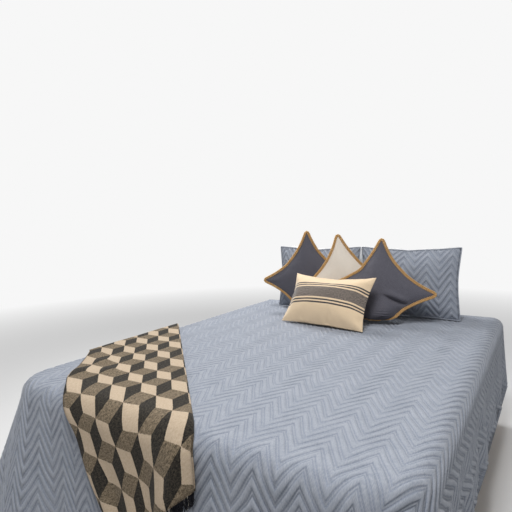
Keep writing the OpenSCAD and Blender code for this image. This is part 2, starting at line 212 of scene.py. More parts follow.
def linen(name, dark, light, slub=0.5):
    """Coarser yarn with slubs in both directions and a heathered colour."""
    m = Material(name, 0.9, 0.15)
    flat = m.coords("UV")
    warp = m.noise(m.scaled(flat, (1, 0.06, 1)), 520, 2.0, 0.7)
    weft = m.noise(m.scaled(flat, (0.06, 1, 1)), 520, 2.0, 0.7)
    tone = (warp + weft) * (slub / 2) + m.noise(flat, 900, 2.0) * (1 - slub)
    return m.finish(m.ramp(tone, (0.34, dark), (0.66, light)), m.weave(flat, 300) + tone * 1.2, 0.35, 0.0008)


def wood(name, axis, dark, light, offset):
    """Planed pine: growth rings stretched along the board, and fine pores."""
    m = Material(name, 0.6, specular=0.4)
    stretch = [1.0, 1.0, 1.0]
    stretch[axis] = 0.06
    place = m.scaled(m.coords(), stretch, offset)
    rings = (m.noise(place, 5, 2.0) + m.noise(place, 26, 4.0, 0.6, 1.4) * 0.12) * 16
    tone = m.math("FRACT", rings) * 0.55 + m.noise(place, 420, 2.0, 0.8) * 0.45
    middle = tuple((a + b) / 2 for a, b in zip(dark, light))
    return m.finish(m.ramp(tone, (0.2, light), (0.62, middle), (0.95, dark)), tone, 0.18, 0.0008)


# Quilting: chevrons that turn every ZIG_HALF, in channels whose seams come in pairs
ZIG_HALF = 0.0658
ZIG_PEAK_X = -0.0155
ZIG_SLOPE = 1.65
ZIG_SKEW = 0.012
ZIG_START = -0.0187
SHAM_SLOPE = 1.4
CHANNEL = 0.0475
NARROW = 0.3
ROW_PHASES = (0, 0.15, 0.3, 0.37, 0.5, 0.8, 0.93)
PUFF = 0.0064
SHAM_PUFF = 0.0062
# Where a row of points would lie closer to a hem than this, it moves onto the hem
HEM_CLEAR = 0.0025
# Width of the painted shade that darkens the cloth by each seam
PAINTED_SHADE_W = 0.006
STITCH = 0.0045
STITCH_HALF_W = 0.0008


def from_peak(u, peak):
    """Distance across to the nearest line on which the chevrons peak."""
    return np.abs((np.asarray(u) - peak + ZIG_HALF) % (2 * ZIG_HALF) - ZIG_HALF)


def puff_shape(phase):
    """Height of the quilting: a narrow low channel, then a wide one that rises to 1, with seams between."""
    phase = phase % 1
    narrow = 0.5 * np.abs(np.sin(np.pi * phase / NARROW)) ** 0.7
    wide = np.abs(np.sin(np.pi * (phase - NARROW) / (1 - NARROW))) ** 0.6
    return np.where(phase < NARROW, narrow, wide)


def row_places(low, high):
    """Rows of points from one place to another, closer by the seams of the channels."""
    k = np.arange(math.floor(low / CHANNEL) - 1, math.ceil(high / CHANNEL) + 1)
    return ((k[:, None] + np.array(ROW_PHASES)) * CHANNEL).ravel()


def quilted(name, peak, slope, skew=0.0, start=0.0):
    """Washed cotton with stitched rows that slope away to both sides of the lines on which they peak, and
    painted shade that darkens the cloth by each seam.
    """
    m = Material(name, 0.85, 0.2)
    flat = m.coords("UV")
    x, y = m.split(flat)
    phase = (y - m.math("PINGPONG", x - peak, ZIG_HALF) * slope - (x * skew + start)) / CHANNEL
    seams = [m.math("PINGPONG", place, 0.5) for place in (phase, phase - NARROW)]
    from_seam = m.math("MINIMUM", *seams) * CHANNEL
    thread = m.noise(m.scaled(flat, (1, 0.15, 1)), 620, 2.0)
    tone = m.noise(flat, 14, 4.0, 0.6) * 0.3 + thread * 0.7
    cloth = m.ramp(tone, (0.34, srgb(134, 141, 153)), (0.66, srgb(165, 169, 178)))
    # painted shade: the cloth darkens within a few millimetres of each seam, where the channels dip
    shade = m.ramp(from_seam / PAINTED_SHADE_W, (0.0, srgb(218, 221, 228)), (1.0, srgb(255, 255, 255)))
    cloth_with_painted_shade = m.mix(1.0, cloth, shade, "MULTIPLY")
    dash = m.math("SINE", x * (2 * math.pi / STITCH)) > -0.3
    cloth = m.mix((from_seam < STITCH_HALF_W) * dash, cloth_with_painted_shade, srgb(150, 158, 172))
    crinkle = m.noise(m.scaled(flat, (1, 0.6, 1)), 75, 3.0, 0.6)
    return m.finish(cloth, m.weave(flat, 380) * 0.25 + crinkle, 0.4, 0.003)


# Bands of the long cushion as [middle, half width], the wide one first, and where its heather ends
LUMBAR_BANDS = ((0.0175, 0.031), (0.0755, 0.004), (0.061, 0.004), (-0.0265, 0.004), (-0.042, 0.004))
HEATHER_HALF = 0.034


def striped():
    """Cream cotton with a heathered band between pairs of thin lines, which bow at the cushion's ends."""
    m = Material("striped_cotton", 0.88, 0.2)
    flat = m.coords("UV")
    along, across = m.split(flat)
    bow = abs(along / 0.25) ** 2.5 * 0.011
    across = across + bow + (m.noise(flat, 160, 2.0) - 0.5) * 0.0012
    fleck = m.noise(m.scaled(flat, (1, 0.5, 1)), 520, 3.0, 0.8)
    cream = m.ramp(fleck, (0.3, srgb(214, 188, 154)), (0.7, srgb(236, 214, 182)))
    charcoal = m.ramp(fleck, (0.4, srgb(52, 50, 54)), (0.62, srgb(88, 84, 84)))
    speckle = m.noise(m.scaled(flat, (1, 0.6, 1)), 300, 2.0, 0.9)
    heather = m.ramp(speckle, (0.42, srgb(66, 62, 64)), (0.6, srgb(150, 138, 126)))
    wide = abs(across - LUMBAR_BANDS[0][0]) < HEATHER_HALF
    band = sum(abs(across - middle) < half for middle, half in LUMBAR_BANDS)
    return m.finish(m.mix(band, cream, m.mix(wide, charcoal, heather)), m.weave(flat, 320), 0.3, 0.0007)


# The throw's lattice points lie this far apart across it, in rows this far apart along it
LATTICE_X = 0.102
LATTICE_Y = 0.1335
LATTICE_START = 0.757


def tumbling_blocks():
    """Three kinds of rhombs, each along one direction of a lattice of points."""
    m = Material("tumbling_blocks", 0.95, 0.03)
    flat = m.coords("UV")
    x, y = m.split(flat)
    tall = 3 ** 0.5
    fuzz = (m.noise(flat, 330, 2.0) - 0.5) * 0.035
    x = x / LATTICE_X + fuzz
    y = (y - LATTICE_START) * (tall / 2 / LATTICE_Y) + fuzz

    def from_point(dx, dy):
        lx = m.math("WRAP", x + dx, 0.5, -0.5)
        ly = m.math("WRAP", y + dy, tall / 2, -tall / 2)
        return lx, ly, lx * lx + ly * ly
    ax, ay, a_far = from_point(0.0, 0.0)
    bx, by, b_far = from_point(0.5, tall / 2)
    use_b = b_far < a_far
    lx = ax + use_b * (bx - ax)
    ly = ay + use_b * (by - ay)
    fleck = m.noise(flat, 130, 3.0, 0.9) * 0.6 + m.noise(flat, 330, 2.0, 0.9) * 0.4
    cream = m.ramp(fleck, (0.36, srgb(174, 154, 131)), (0.6, srgb(198, 180, 157)))
    taupe = m.ramp(fleck, (0.42, srgb(68, 60, 49)), (0.58, srgb(146, 130, 108)))
    charcoal = m.ramp(fleck, (0.44, srgb(22, 20, 18)), (0.6, srgb(70, 64, 55)))
    colour = m.mix(abs(ly) < abs(lx) * (1 / tall), m.mix(lx * ly > 0.0, cream, charcoal), taupe)
    return m.finish(colour, m.weave(flat, 240) + m.noise(flat, 500, 3.0, 0.8) * 1.6, 0.5, 0.0012)


def mattress_knit():
    m = Material("mattress_knit", 0.9, 0.1)
    place = m.coords()
    dots = m.make("TexVoronoi", {"Vector": place, "Scale": 46})
    tone = m.ramp(dots + m.noise(place, 300) * 0.3, (0.1, srgb(206, 204, 200)), (0.7, srgb(236, 235, 232)))
    return m.finish(tone, dots, 0.4, 0.002)


def fringe_yarn():
    """Black strands with a white one here and there, each of one shade."""
    m = Material("fringe_yarn", 0.9)
    shade, _ = m.split(m.coords("UV"))
    mixed = shade + (m.noise(m.coords(), 900, 2.0) - 0.5) * 0.2
    return m.finish(m.ramp(mixed, (0.93, srgb(24, 24, 30)), (0.97, srgb(196, 190, 180))))


# Meshes
def new_object(name, data):
    made = bpy.data.objects.new(name, data)
    scene.collection.objects.link(made)
    return made


def add_piece(name, points, faces, material, flat=None, node=None):
    """A new piece that rides on the bed, faces outward, with the flat cloth's coordinates as its UV map."""
    mesh = bpy.data.meshes.new(name)
    mesh.from_pydata(np.asarray(points, float).tolist(), [], [tuple(map(int, face)) for face in faces])
    mesh.update()
    if flat is not None:
        layer = mesh.uv_layers.new(name="flat")
        index = np.zeros(len(mesh.loops), np.int32)
        mesh.loops.foreach_get("vertex_index", index)
        layer.data.foreach_set("uv", np.asarray(flat, np.float32)[index].ravel())
    mesh.polygons.foreach_set("use_smooth", [True] * len(mesh.polygons))
    bm = bmesh.new()
    bm.from_mesh(mesh)
    bmesh.ops.dissolve_degenerate(bm, edges=bm.edges, dist=1e-6)
    bmesh.ops.recalc_face_normals(bm, faces=bm.faces)
    bm.to_mesh(mesh)
    bm.free()
    mesh.materials.append(material)
    piece = new_object(name, mesh)
    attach(piece, "root")
    if node:
        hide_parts(node)
    return piece


def grid_faces(rows, cols, start=0, flip=False):
    i = np.arange(rows - 1)[:, None] * cols + np.arange(cols - 1)[None, :] + start
    quads = np.stack([i, i + 1, i + cols + 1, i + cols], -1).reshape(-1, 4)
    return quads[:, ::-1] if flip else quads


def ring_faces(count, sides, closed=False):
    """Faces between rings of points that follow each other, and from the last to the first where closed."""
    faces = []
    for i in range(count if closed else count - 1):
        here, there = i * sides, (i + 1) % count * sides
        for j in range(sides):
            k = (j + 1) % sides
            faces.append((here + j, there + j, there + k, here + k))
    return faces


def lids(count, sides):
    """One face on the first ring and one on the last."""
    return [tuple(range(sides))[::-1], tuple(range((count - 1) * sides, count * sides))]


# Steps a metre in which points that meet are the same
COVERLET_STEPS = 1e5
PAD_STEPS = 2e5


def unit(vectors):
    return vectors / np.linalg.norm(vectors, axis=-1, keepdims=True)


def tube_points(line, side, up, radius, turn):
    """Rings of points round a line, at the given turns between two directions across it."""
    ring = np.cos(turn)[:, None] * side[:, None] + np.sin(turn)[:, None] * up[:, None]
    return (line[:, None] + np.reshape(radius, (-1, 1, 1)) * ring).reshape(-1, 3)


def round_turns(sides):
    return 2 * math.pi * np.arange(sides) / sides


def cord_flat(way, radius, turn):
    """Flat coordinates of a cord: the way along it and round it."""
    return np.stack(np.broadcast_arrays(way[:, None], radius * turn), -1).reshape(-1, 2)


def weld(points, faces, flat, steps):
    """Joins points that are the same in so many steps a metre, and drops the faces that this closes."""
    places = np.round(points * steps).astype(np.int64)
    _, keep, where = np.unique(places, axis=0, return_index=True, return_inverse=True)
    kept = []
    for face in where.ravel()[faces]:
        loop = [v for i, v in enumerate(face) if v != face[i - 1]]
        if len(loop) >= 3 and len(set(loop)) == len(loop):
            kept.append(loop)
    return points[keep], kept, flat[keep]


def smooth_noise(x, y, seed, waves=7, low=0.7, high=2.2):
    """Gentle bumps between -1 and 1 over two coordinates, from a few seeded waves."""
    r = np.random.default_rng(seed)
    total = 0
    for _ in range(waves):
        angle, phase = r.uniform(0, 2 * math.pi, 2)
        k = 2 * math.pi * r.uniform(low, high)
        total = total + np.sin(k * (x * math.cos(angle) + y * math.sin(angle)) + phase)
    return total / waves ** 0.5 / 1.6


def bell(distance, width):
    """1 where the distance is 0, and down to 0 away from there."""
    return np.exp(-(distance / width) ** 2)


# Coverlet: one quilted cloth, which hangs over the sides and the foot
BEND = EDGE_R * math.pi / 2
SIDE_HANG = DROP - EDGE_R
FOOT_HANG = FOOT_DROP - EDGE_R
CORNER_ARC = CORNER_R * math.pi / 4
CORE_X = FLAT_X - ARC_R
CORE_Y = FLAT_Y - ARC_R
SIDE_REACH = FLAT_X + BEND + SIDE_HANG
# Folds of the hem as [depth, spacing, phase], and the deeper ones by the foot corners
HEM_FOLDS = ((0.008, 0.31, 1.0), (0.005, 0.19, 2.2), (0.003, 0.107, 0.5))
CORNER_FOLD = 0.016
CORNER_FOLD_STEP = 0.17
CORNER_FOLD_PLACE = 0.235
CORNER_FOLD_REACH = 0.25
# How far the top sinks where it is slack, how far out that fades, and the clearance under the CAD top
SLACK = 0.0022
SLACK_FADE = 0.1
TOP_CLEAR = 0.0004


def corner_lower(from_corner):
    return CORNER_DROP * bell(from_corner, CORNER_DROP_W)


def hem_ripple(way, from_corner):
    """How far the hem stands out in its folds, over the distance round the bed."""
    ripple = sum(depth * np.sin(way * 2 * math.pi / step + phase) for depth, step, phase in HEM_FOLDS)
    by_corner = np.cos((np.abs(way) - CORE_X - CORNER_FOLD_PLACE) * 2 * math.pi / CORNER_FOLD_STEP)
    return ripple + CORNER_FOLD * by_corner * bell(from_corner, CORNER_FOLD_REACH)


def drape(u, g, inward):
    """The coverlet's surface over flat coordinates: u across the bed, g towards the foot."""
    side = np.where(u < 0, -1.0, 1.0)
    q = np.maximum(np.abs(u) - CORE_X, 0)
    r = np.maximum(g - CORE_Y, 0)
    rho = np.maximum(np.hypot(q, r), 1e-9)
    d = rho - ARC_R
    out_x, out_y = side * q / rho, -r / rho
    angle = np.arctan2(q, r)
    past_foot = np.maximum(CORE_X - np.abs(u), 0)
    past_side = np.maximum(CORE_Y - g, 0)
    from_corner = np.where((past_foot > 0) | (past_side > 0), CORNER_ARC + past_foot + past_side,
                           np.abs(angle - math.pi / 4) * CORNER_R)
    hang = SIDE_HANG + (FOOT_DROP - DROP) * out_y ** 2 + corner_lower(from_corner)
    a = np.clip(d / EDGE_R, 0, math.pi / 2)
    rest = np.clip(d - BEND, 0, None)
    f = rest / hang
    flare = HEM_FLARE + CORNER_FLARE * bell(from_corner, CORNER_FOLD_W)
    way = side * (np.minimum(np.abs(u), CORE_X) + angle * 0.3 + past_side)
    reach = EDGE_R * np.sin(a) + f * flare + f ** 1.3 * hem_ripple(way, from_corner)
    down = EDGE_R * (1 - np.cos(a)) + rest
    lift = smooth_noise(u, g, 5) * SLACK * np.clip(1 - d / SLACK_FADE, 0, 1)
    x = side * np.minimum(np.abs(u), CORE_X) + np.where(d > 0, out_x * (ARC_R + reach), side * q)
    y = -np.minimum(g, CORE_Y) + np.where(d > 0, out_y * (ARC_R + reach), -r)
    z = BED_TOP - down + np.minimum(lift, 0) - TOP_CLEAR
    nx, ny, nz = out_x * np.sin(a), out_y * np.sin(a), np.cos(a)
    return np.stack([x - nx * inward, y - ny * inward + ORIGIN_Y, z - nz * inward], -1)


def coverlet_columns():
    """Places across the cloth where the chevrons turn, and closer ones by its side hems."""
    far = SIDE_REACH + corner_lower(CORNER_ARC)
    middle = ZIG_PEAK_X + ZIG_HALF / 4 * np.arange(-120, 121)
    hems = SIDE_REACH + np.array([-0.004, 0, 0.0008, 0.004])
    outside = np.concatenate([-hems, hems, [-far, far]])
    clear = [u for u in middle if abs(u) < far and np.abs(outside - u).min() > 0.005]
    return np.sort(np.concatenate([clear, outside]))


def coverlet_limits(columns):
    """Where each column of the cloth starts and ends: its head or side hem, and its foot hem."""
    size = np.abs(columns)
    extra = np.maximum(size - SIDE_REACH, 1e-6)
    from_corner = CORNER_DROP_W * np.sqrt(np.maximum(np.log(CORNER_DROP / extra), 0))
    start = np.where(size > SIDE_REACH, np.maximum(CORE_Y + CORNER_ARC - from_corner, -HALF_L), -HALF_L)
    end = FLAT_Y + BEND + FOOT_HANG + corner_lower(CORNER_ARC + np.maximum(CORE_X - size, 0))
    turn = np.linspace(0, math.pi / 2, 400)
    hem = (ARC_R + BEND + SIDE_HANG + (FOOT_DROP - DROP) * np.cos(turn) ** 2
           + corner_lower(np.abs(turn - math.pi / 4) * CORNER_R))
    bent = CORE_Y + np.interp(size - CORE_X, hem * np.sin(turn), hem * np.cos(turn))
    return start, np.where(size > CORE_X, bent, end)


def make_coverlet():
    columns = coverlet_columns()
    start, end = coverlet_limits(columns)
    rise = ZIG_SLOPE * from_peak(columns, ZIG_PEAK_X) + ZIG_SKEW * columns + ZIG_START
    rows = row_places(-HALF_L - rise.max(), end.max() - rise.min())
    g = np.clip(rows[:, None] + rise, start, end)
    g = np.where(g - start < HEM_CLEAR, start, np.where(end - g < HEM_CLEAR, end, g))
    u = np.broadcast_to(columns, g.shape)
    edge = np.minimum(np.minimum(g - start, end - g), 0.03) / 0.03
    uneven = np.clip(0.85 + 0.35 * smooth_noise(u, g, 41, 9, 3, 9), 0.5, 1.18)
    hanging = np.clip(np.maximum(np.abs(u) - FLAT_X, g - FLAT_Y) / BEND, 0, 1)
    deep = PUFF * uneven * (0.68 + 0.32 * hanging) * np.clip(edge * 3, 0, 1)
    sink = deep * (1 - puff_shape((g - rise) / CHANNEL))
    waver = g + (0.005 * smooth_noise(u, g, 42, 9, 3, 8) + 0.0025 * smooth_noise(u, g, 43, 9, 8, 18)) * edge
    outer = drape(u, waver, sink)
    inner = drape(u, waver, QUILT_T)
    rows, cols = g.shape
    n = rows * cols
    # the rim joins both layers all round
    ring = np.concatenate([
        np.arange(cols), np.arange(1, rows) * cols + cols - 1,
        (rows - 1) * cols + np.arange(cols - 2, -1, -1), np.arange(rows - 2, 0, -1) * cols])
    after = np.roll(ring, -1)
    rim = np.stack([ring, ring + n, after + n, after], -1)
    faces = np.concatenate([grid_faces(rows, cols), grid_faces(rows, cols, n, True), rim])
    points = np.concatenate([outer.reshape(-1, 3), inner.reshape(-1, 3)])
    flat = np.concatenate([np.stack([u, g], -1).reshape(-1, 2)] * 2)
    points, faces, flat = weld(points, faces, flat, COVERLET_STEPS)
    cloth = quilted("quilt_cotton", ZIG_PEAK_X, ZIG_SLOPE, ZIG_SKEW, ZIG_START)
    return add_piece("coverlet_quilted", points, faces, cloth, flat, "coverlet")


# Padded pieces: two sheets sewn together and inflated, kept as a front and a back over (p, q). They start
# flat but for a slight rise and bumps that make them crease.
START_RISE = 0.006
START_BUMPS = 0.0012
CLOTH = {
    "quality": 6, "mass": 0.25, "tension_stiffness": 40, "compression_stiffness": 40, "shear_stiffness": 20,
    "bending_stiffness": 0.15, "tension_damping": 8, "compression_damping": 8, "shear_damping": 8,
    "bending_damping": 0.6, "air_damping": 4, "use_pressure": True, "uniform_pressure_force": 14,
}
CLOTH_FRAMES = 26
# Kept share of the simulated cloth's own shift across, and share of the pull along the side stood on
OWN_SHIFT = 0.25
STOOD_ON = 0.12


def blurred(field, times):
    """A grid of values, smoothed with its neighbours."""
    for _ in range(times):
        wide = np.pad(field, ((1, 1), (1, 1), (0, 0)), mode="edge")
        field = (wide[:-2, 1:-1] + wide[2:, 1:-1] + wide[1:-1, :-2] + wide[1:-1, 2:] + 2 * field) / 6
    return field


def simulate(points, faces):
    """Where the points of a closed cover come to rest under pressure."""
    mesh = bpy.data.meshes.new("inflate")
    mesh.from_pydata(points.tolist(), [], faces.tolist())
    cover = new_object("inflate", mesh)
    cloth = cover.modifiers.new("cloth", "CLOTH")
    for key, value in CLOTH.items():
        setattr(cloth.settings, key, value)
    cloth.settings.effector_weights.gravity = 0
    cloth.collision_settings.use_self_collision = False
    scene.frame_start, scene.frame_end = 1, CLOTH_FRAMES
    cloth.point_cache.frame_start, cloth.point_cache.frame_end = 1, CLOTH_FRAMES
    for number in range(1, CLOTH_FRAMES + 1):
        scene.frame_set(number)
    shape = cover.evaluated_get(bpy.context.evaluated_depsgraph_get())
    rested = np.zeros(len(points) * 3, np.float32)
    shape.data.vertices.foreach_get("co", rested)
    bpy.data.objects.remove(cover)
    bpy.data.meshes.remove(mesh)
    scene.frame_set(1)
    return rested.reshape(-1, 3).astype(float)


def inflate(size, pull, cell, seed, stands=True):
    """Front and back surfaces of a stuffed cover, as arrays of points over its flat grid. Its seams are
    drawn in by the pull at the middle of each side, but hardly along the one that it stands on."""
    width, height, thick = size
    nx, ny = round(width / cell), round(height / cell)
    P, Q = grid_of(nx, ny)
    edge = (1 - P ** 2) * (1 - Q ** 2)
    below = np.where(Q < 0, STOOD_ON, 1) if stands else 1
    plain = np.stack([P * width / 2, Q * height / 2, 0 * P], -1)
    drawn = -pull * np.stack([P * np.abs(P) * (1 - Q ** 2), Q * np.abs(Q) * (1 - P ** 2) * below], -1)
    bumps = START_BUMPS * smooth_noise(P * width, Q * height, seed, 9, 4, 16) * np.sqrt(edge)
    start = START_RISE * np.sqrt(edge)
    front = np.stack([P * width / 2, Q * height / 2, start + bumps], -1)
    back = np.stack([P * width / 2, Q * height / 2, -start + bumps], -1)
    n = P.size
    rim = (np.abs(P) == 1) | (np.abs(Q) == 1)
    inner = np.flatnonzero(~rim.ravel())
    index_back = np.arange(n)
    index_back[inner] = n + np.arange(len(inner))
    quads = grid_faces(nx + 1, ny + 1)
    rested = simulate(np.concatenate([front.reshape(-1, 3), back.reshape(-1, 3)[inner]]),
                      np.concatenate([quads[:, ::-1], index_back[quads]]))
    front = rested[:n].reshape(nx + 1, ny + 1, 3)
    back = rested[index_back].reshape(nx + 1, ny + 1, 3)
    # the cloth keeps its rise and a share of its own shift across; the formula draws in its seams
    scale = thick / (front[..., 2].max() - back[..., 2].min())
    out = []
    for g in (front, back):
        shift = g - plain
        own = blurred(shift[..., :2], 6)
        for i, u in ((0, 1 - P), (-1, 1 + P)):
            for j, v in ((0, 1 - Q), (-1, 1 + Q)):
                own = own - own[i, j] * (u * v)[..., None] / 4
        rise = shift[..., 2:] * scale
        rise = 0.4 * rise + 0.6 * blurred(rise, 3)
        out.append(plain + np.concatenate([drawn + OWN_SHIFT * own, rise], -1))
    both = (out[0] + out[1]) / 2
    out[0][rim] = out[1][rim] = both[rim]
    return tuple(out)


def grid_of(nx, ny):
    return np.meshgrid(np.linspace(-1, 1, nx + 1), np.linspace(-1, 1, ny + 1), indexing="ij")


def sample(grid, p, q):
    """A point of an inflated surface at p, q from -1 to 1, between its grid points."""
    nx, ny = grid.shape[0] - 1, grid.shape[1] - 1
    a = np.clip((np.asarray(p) + 1) / 2 * nx, 0, nx - 1e-6)
    b = np.clip((np.asarray(q) + 1) / 2 * ny, 0, ny - 1e-6)
    i, j = a.astype(int), b.astype(int)
    fa, fb = (a - i)[..., None], (b - j)[..., None]
    return (grid[i, j] * (1 - fa) * (1 - fb) + grid[i + 1, j] * fa * (1 - fb)
            + grid[i, j + 1] * (1 - fa) * fb + grid[i + 1, j + 1] * fa * fb)


def rise_of(grid, p, q, amount):
    """Sampled points, moved along the surface's own direction."""
    e = 0.01
    du = sample(grid, np.clip(p + e, -1, 1), q) - sample(grid, np.clip(p - e, -1, 1), q)
    dv = sample(grid, p, np.clip(q + e, -1, 1)) - sample(grid, p, np.clip(q - e, -1, 1))
    normal = np.cross(du, dv)
    length = np.linalg.norm(normal, axis=-1, keepdims=True)
    return sample(grid, p, q) + normal / np.maximum(length, 1e-12) * np.asarray(amount)[..., None]


def pad_mesh(shapes, width, height, P, Q, relief, behind):
    """A closed pad over a grid of p and q. Its relief fades at the seam, and its back has a share of it."""
    front, back = shapes
    fade = np.clip((1 - np.abs(P)) * width / 0.02, 0, 1) * np.clip((1 - np.abs(Q)) * height / 0.02, 0, 1)
    up = np.zeros(P.shape) if relief is None else relief(P * width / 2, Q * height / 2) * fade
    deep = np.linalg.norm(sample(front, P, Q) - sample(back, P, Q), axis=-1)
    up = np.maximum(up, -0.3 * deep)
    points = np.stack([rise_of(front, P, Q, up), rise_of(back, P, Q, -up * behind)]).reshape(-1, 3)
    faces = np.concatenate([grid_faces(*P.shape, 0, True), grid_faces(*P.shape, P.size)])
    # the back's cloth lies whole chevrons away from the front's
    flat = np.stack([P * width / 2, Q * height / 2], -1).reshape(-1, 2)
    return points, faces, np.concatenate([flat, flat + (46 * ZIG_HALF, 64 * CHANNEL)])


def seam_curve(shape, count=96):
    """Points round a pad's seam, evenly spaced along each side."""
    f = np.linspace(-1, 1, count + 1)[:-1]
    one = np.ones(count)
    return sample(shape[0], np.concatenate([f, one, -f, -one]), np.concatenate([-one, f, one, -f]))


def seam_outward(seam):
    """Directions out of a flat closed seam, longer where it turns a corner."""
    before = unit((seam - np.roll(seam, 1, 0))[:, :2])
    after = unit((np.roll(seam, -1, 0) - seam)[:, :2])
    bend = unit(before + after)
    mitre = 1 / np.maximum((bend * before).sum(1), 0.6)
    return np.stack([bend[:, 1] * mitre, -bend[:, 0] * mitre, 0 * mitre], -1)


def rounded(loop, times=7):
    """A closed line of points with its corners rounded."""
    for _ in range(times):
        loop = (np.roll(loop, 1, 0) + np.roll(loop, -1, 0) + 2 * loop) / 4
    return loop


# Places on the bed, as the CAD source poses its pads
def pose(local, lean, turn):
    """Local x, depth towards the head and height up the slope, leant back and turned."""
    lean, turn = math.radians(lean), math.radians(turn)
    x, d, h = np.moveaxis(local, -1, 0)
    back = d * math.cos(lean) + h * math.sin(lean)
    up = h * math.cos(lean) - d * math.sin(lean)
    c, s = math.cos(turn), math.sin(turn)
    return np.stack([x * c - back * s, x * s + back * c, up], -1)


def shift_onto(points, node, under_top=0.0):
    """What brings the middle of the points' box over a CAD node's, and its top to that one's or under it."""
    low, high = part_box(node)
    own_low, own_high = points.min(0), points.max(0)
    shift = (np.array(low) + np.array(high) - own_low - own_high) / 2
    shift[2] = high.z - under_top - own_high[2]
    return shift


def rest_on_bed(points, depth=0.014):
    """Flattens what would sink into the bed, softly."""
    floor = BED_TOP + SEAT
    h = points[:, 2] - floor
    points[:, 2] = floor + np.where(h < depth, depth * np.exp(np.minimum(h - depth, 0) / depth), h)
    return points


def make_oblong(name, node, size, lean, turn, shapes, material, slot, P, Q, relief=None):
    """Makes a pad that stands on its long side, and returns what brings its own points to their place."""
    width, height, _ = size

    def posed(points):
        return pose(np.stack([points[:, 0], -points[:, 2], points[:, 1] + height / 2], -1), lean, turn)
    local, faces, flat = pad_mesh(shapes, width, height, P, Q, relief, 1.0)
    first = posed(local)
    shift = shift_onto(first, node)
    low, top = first[:, 2].min() + shift[2], first[:, 2].max() + shift[2]
    stretch = max((top - BED_TOP - SEAT) / (top - low), 1)

    def place(points):
        out = posed(points) + shift
        out[:, 2] = top - (top - out[:, 2]) * stretch
        return rest_on_bed(out)
    points, faces, flat = weld(place(local), faces, flat, PAD_STEPS)
    piece = add_piece(name, points, faces, material, flat, node)
    return place


def piping(name, curve, radius, material):
    """A covered cord along the closed seam of an upright pad."""
    ahead = unit(np.roll(curve, -1, 0) - np.roll(curve, 1, 0))
    side = unit(np.cross(ahead, (0, 1, 0)))
    turn = round_turns(8)
    points = tube_points(curve, side, np.cross(ahead, side), radius, turn)
    way = np.cumsum(np.linalg.norm(curve - np.roll(curve, 1, 0), axis=1))
    faces = ring_faces(len(curve), len(turn), True)
    add_piece(name, points, faces, material, cord_flat(way, radius, turn))


# Sleeping pillows and quilted shams, inflated alike
PIPING_R = 0.0028


def make_pillows(shape):
    cloth = cotton("white_cotton", srgb(222, 222, 224), srgb(240, 240, 240))
    P, Q = grid_of(72, 54)
    for side, ways in (("left", P), ("right", -P)):
        make_oblong("sleeping_pillow_" + side, "pillow_" + side, PILLOW, 3, 0, shape, cloth,
                    "white_cotton", ways, Q)


def sham_grid(peak):
    """Columns and chevron rows over a sham, in p and q."""
    half_w, half_h = SHAM[0] / 2, SHAM[1] / 2
    step = ZIG_HALF / 5
    first, last = math.ceil((-half_w - peak) / step), math.floor((half_w - peak) / step)
    inner = np.arange(first, last + 1) * step + peak
    inner = inner[np.abs(inner) < half_w - 0.004]
    columns = np.concatenate([[-half_w], inner, [half_w]])
    drop = -SHAM_SLOPE * from_peak(columns, peak)
    rows = np.clip(row_places(-half_h, half_h - drop.min())[None, :] + drop[:, None], -half_h, half_h)
    rows = np.where(half_h - np.abs(rows) < HEM_CLEAR, np.sign(rows) * half_h, rows)
    return np.broadcast_to(columns[:, None], rows.shape) / half_w, rows / half_h


def make_shams(pillow_shape):
    shape = tuple(g * np.array(SHAM) / np.array(PILLOW) for g in pillow_shape)
    piping_cotton = cotton("piping_cotton", srgb(134, 141, 153), srgb(170, 174, 183))
    for side, peak in (("left", 0.03), ("right", -0.0206)):
        def relief(x, y):
            return SHAM_PUFF * (puff_shape((y + SHAM_SLOPE * from_peak(x, peak)) / CHANNEL) - 1)
        cloth = quilted("quilt_cotton_" + side, peak, -SHAM_SLOPE)
        place = make_oblong("sham_" + side + "_quilted", "sham_" + side, SHAM, 6, 0, shape, cloth,
                            "quilted_cotton", *sham_grid(peak), relief)
        piping("sham_" + side + "_piping", place(seam_curve(shape)), PIPING_R, piping_cotton)


def seam_puckers(x, y):
    """Small gathers that run in from the long cushion's seams."""
    width, height, _ = LUMBAR
    by_ends = bell(width / 2 - np.abs(x), 0.035) * smooth_noise(y, np.sign(x), 61, 9, 6, 24)
    by_sides = bell(height / 2 - np.abs(y), 0.03) * smooth_noise(x, np.sign(y), 62, 9, 6, 24)
    return 0.0035 * (by_ends + by_sides) + 0.002 * smooth_noise(x, y, 63, 9, 2, 7)


# Square cushions stand on a corner: [middle height as a share of the side, tilt, lean, turn, quarters turned]
SQUARES = {
    "grey_left": (0.44, 2, 3, 8, 0),
    "white": (0.402, 8.5, 7, 14, 1),
    "grey_right": (0.4, -2, 21, 9, 2),
}
# The rope cuts the corners, so the cover under it is a little bigger and its top lies under the CAD rope's
COVER_GROWTH = 1.04
ROPE_UNDER_TOP = 0.006
# Step outward that shows which way is out once the rope is in its place, and the length of one plait
ROPE_PROBE = 0.004
PLAIT = 0.026


def standing(points, middle, tilt):
    """Turns a flat square to stand on a corner, and tucks that corner up under it."""
    a = math.radians(45 + tilt)
    x = points[..., 0] * math.cos(a) - points[..., 1] * math.sin(a)
    h = points[..., 0] * math.sin(a) + points[..., 1] * math.cos(a) + middle * CUSHION_W
    knee, low = 0.025, 0.004
    deepest = middle * CUSHION_W - CUSHION_W / math.sqrt(2)
    f = np.clip((knee - h) / (knee - deepest), 0, 1)
    h = np.where(h < knee, low + (knee - low) * (1 - f) ** 4.6, h)
    return np.stack([x, -points[..., 2], h], -1)


def turned_shape(shape, quarter):
    """The same cover turned by quarters, so that the cushions' creases differ."""
    out = []
    for g in shape:
        g = np.rot90(g, quarter, (0, 1)).copy()
        for _ in range(quarter):
            g[..., 0], g[..., 1] = -g[..., 1].copy(), g[..., 0].copy()
        out.append(g * (COVER_GROWTH, COVER_GROWTH, 1))
    return tuple(out)


